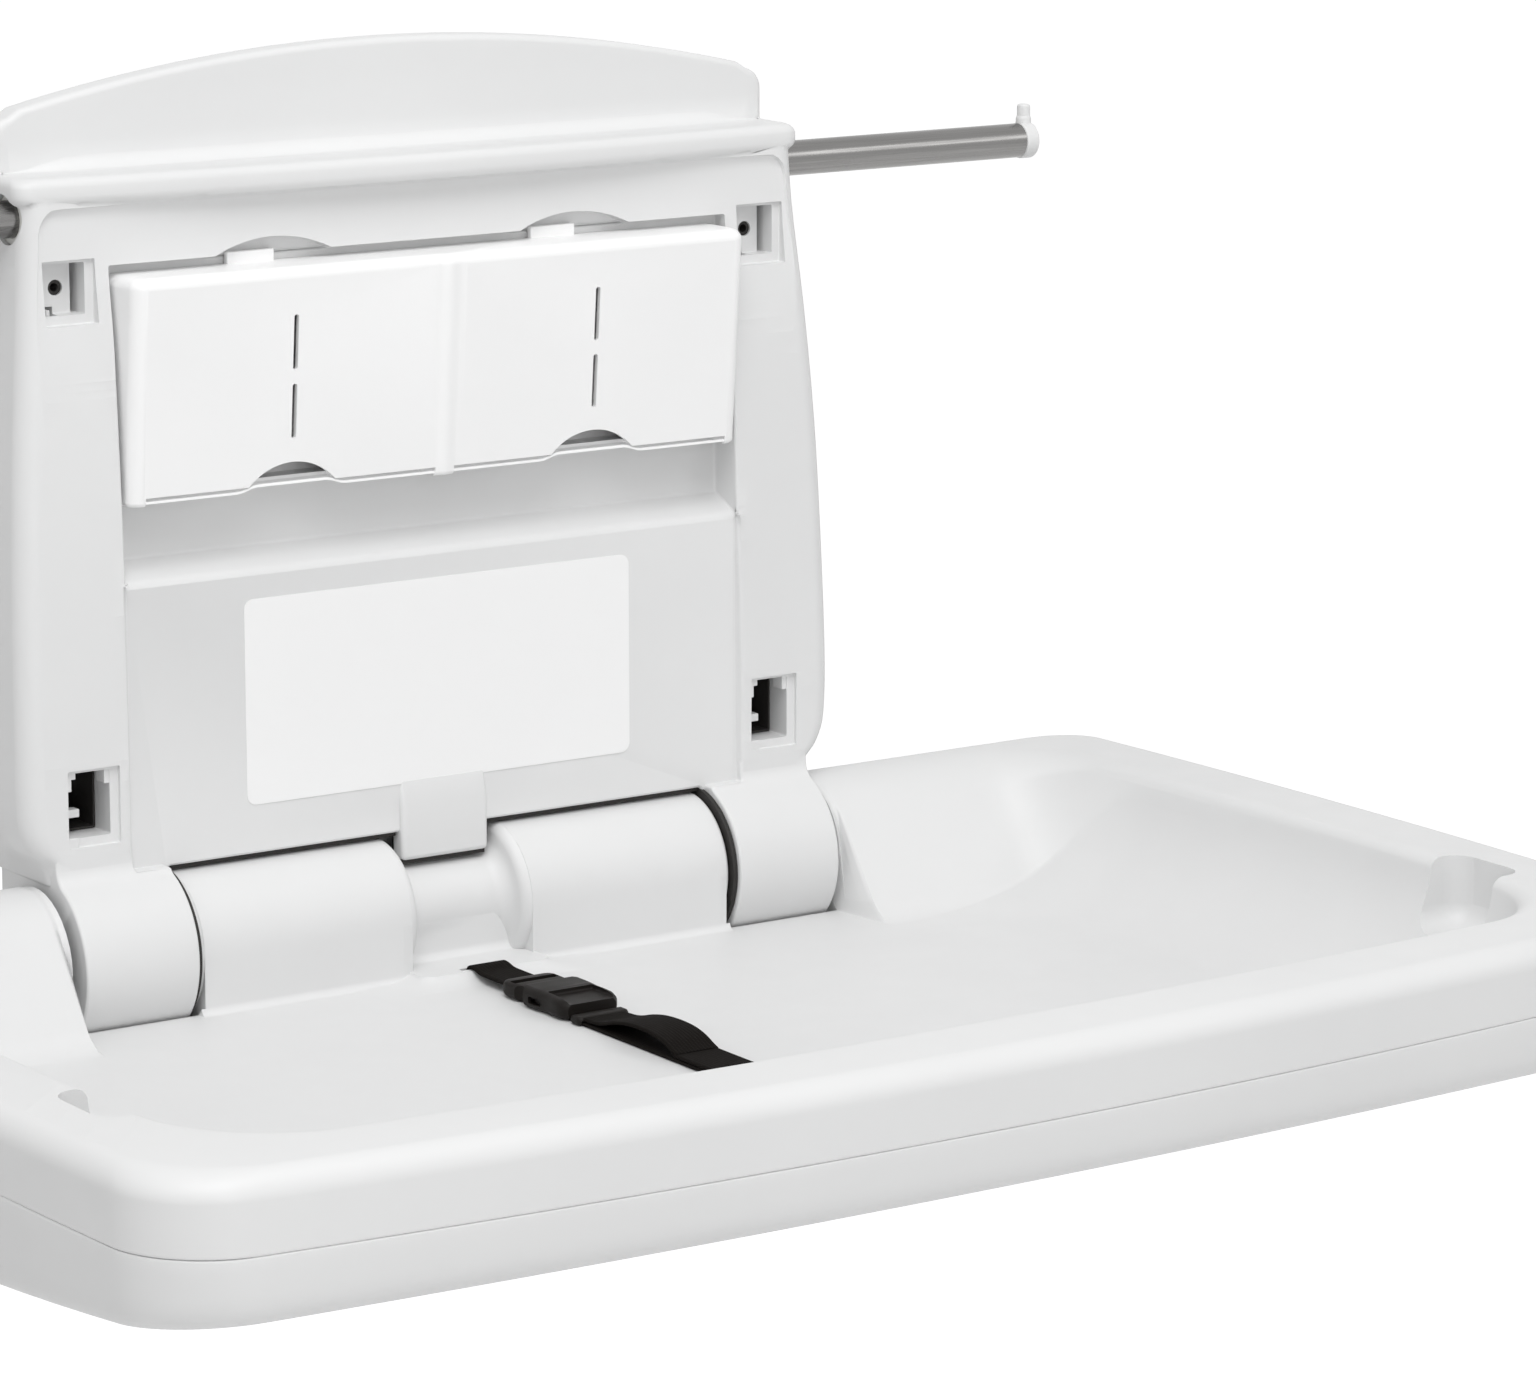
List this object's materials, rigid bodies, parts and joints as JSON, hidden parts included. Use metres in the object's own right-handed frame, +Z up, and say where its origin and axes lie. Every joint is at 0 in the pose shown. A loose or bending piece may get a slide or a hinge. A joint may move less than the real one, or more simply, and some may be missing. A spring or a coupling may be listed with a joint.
{
  "type": "wall-mounted baby changing station",
  "caption": "Fold-down baby changing bed hinged to a wall unit with a liner dispenser, a bag rod and a buckled safety strap.",
  "frame": {"origin": "on the wall, at the middle of the back plate's rear face, 200 mm above the hinge line", "axes": "+X to the right seen from the room, +Y into the wall, +Z up"},
  "size_m": [0.843, 0.5515, 0.4816],
  "materials": {
    "body_plastic": "fine satin grain",
    "white_plastic": "smooth satin",
    "rod_aluminium": "satin anodised",
    "bush_nylon": "natural",
    "steel": "zinc plated",
    "webbing": "woven",
    "buckle_plastic": "moulded"
  },
  "bodies": {
    "wall": {"wall_frame": "body_plastic", "wall_plate": "steel", "plate_screw_1_left": "steel", "plate_screw_1_right": "steel", "plate_screw_2_left": "steel", "plate_screw_2_right": "steel", "plate_screw_3_left": "steel", "plate_screw_3_right": "steel", "liner_bin_left": "white_plastic", "liner_bin_right": "white_plastic", "dispenser_cover": "white_plastic", "bag_rod": "rod_aluminium", "rod_bush_left": "bush_nylon", "rod_bush_right": "bush_nylon", "rod_cap_left": "white_plastic", "rod_cap_right": "white_plastic", "hinge_pin_left": "steel", "hinge_pin_right": "steel", "hinge_clip_left": "steel", "hinge_clip_right": "steel"},
    "bed": {"bed_tray": "body_plastic", "bed_base": "body_plastic", "bed_screw_1_left": "steel", "bed_screw_1_right": "steel", "bed_screw_2_left": "steel", "bed_screw_2_right": "steel", "bed_screw_3_left": "steel", "bed_screw_3_right": "steel", "bed_screw_4_left": "steel", "bed_screw_4_right": "steel", "hinge_bush_inner_left": "bush_nylon", "hinge_bush_inner_right": "bush_nylon", "hinge_bush_outer_left": "bush_nylon", "hinge_bush_outer_right": "bush_nylon", "strap_rear": "webbing", "strap_keeper": "steel", "buckle_tongue": "buckle_plastic"},
    "buckle_half": {"buckle_socket": "buckle_plastic", "strap_front": "webbing", "strap_adjuster": "buckle_plastic"}
  },
  "joints": [
    {"name": "bed_fold", "type": "hinge", "parent": "wall", "child": "bed", "pos_m": [0, -0.0485, -0.2], "axis": [-1, 0, 0], "range_deg": [0, 90]},
    {"name": "buckle_release", "type": "slide", "parent": "bed", "child": "buckle_half", "axis": [0, -1, 0], "range_m": [0, 0.022]}
  ]
}
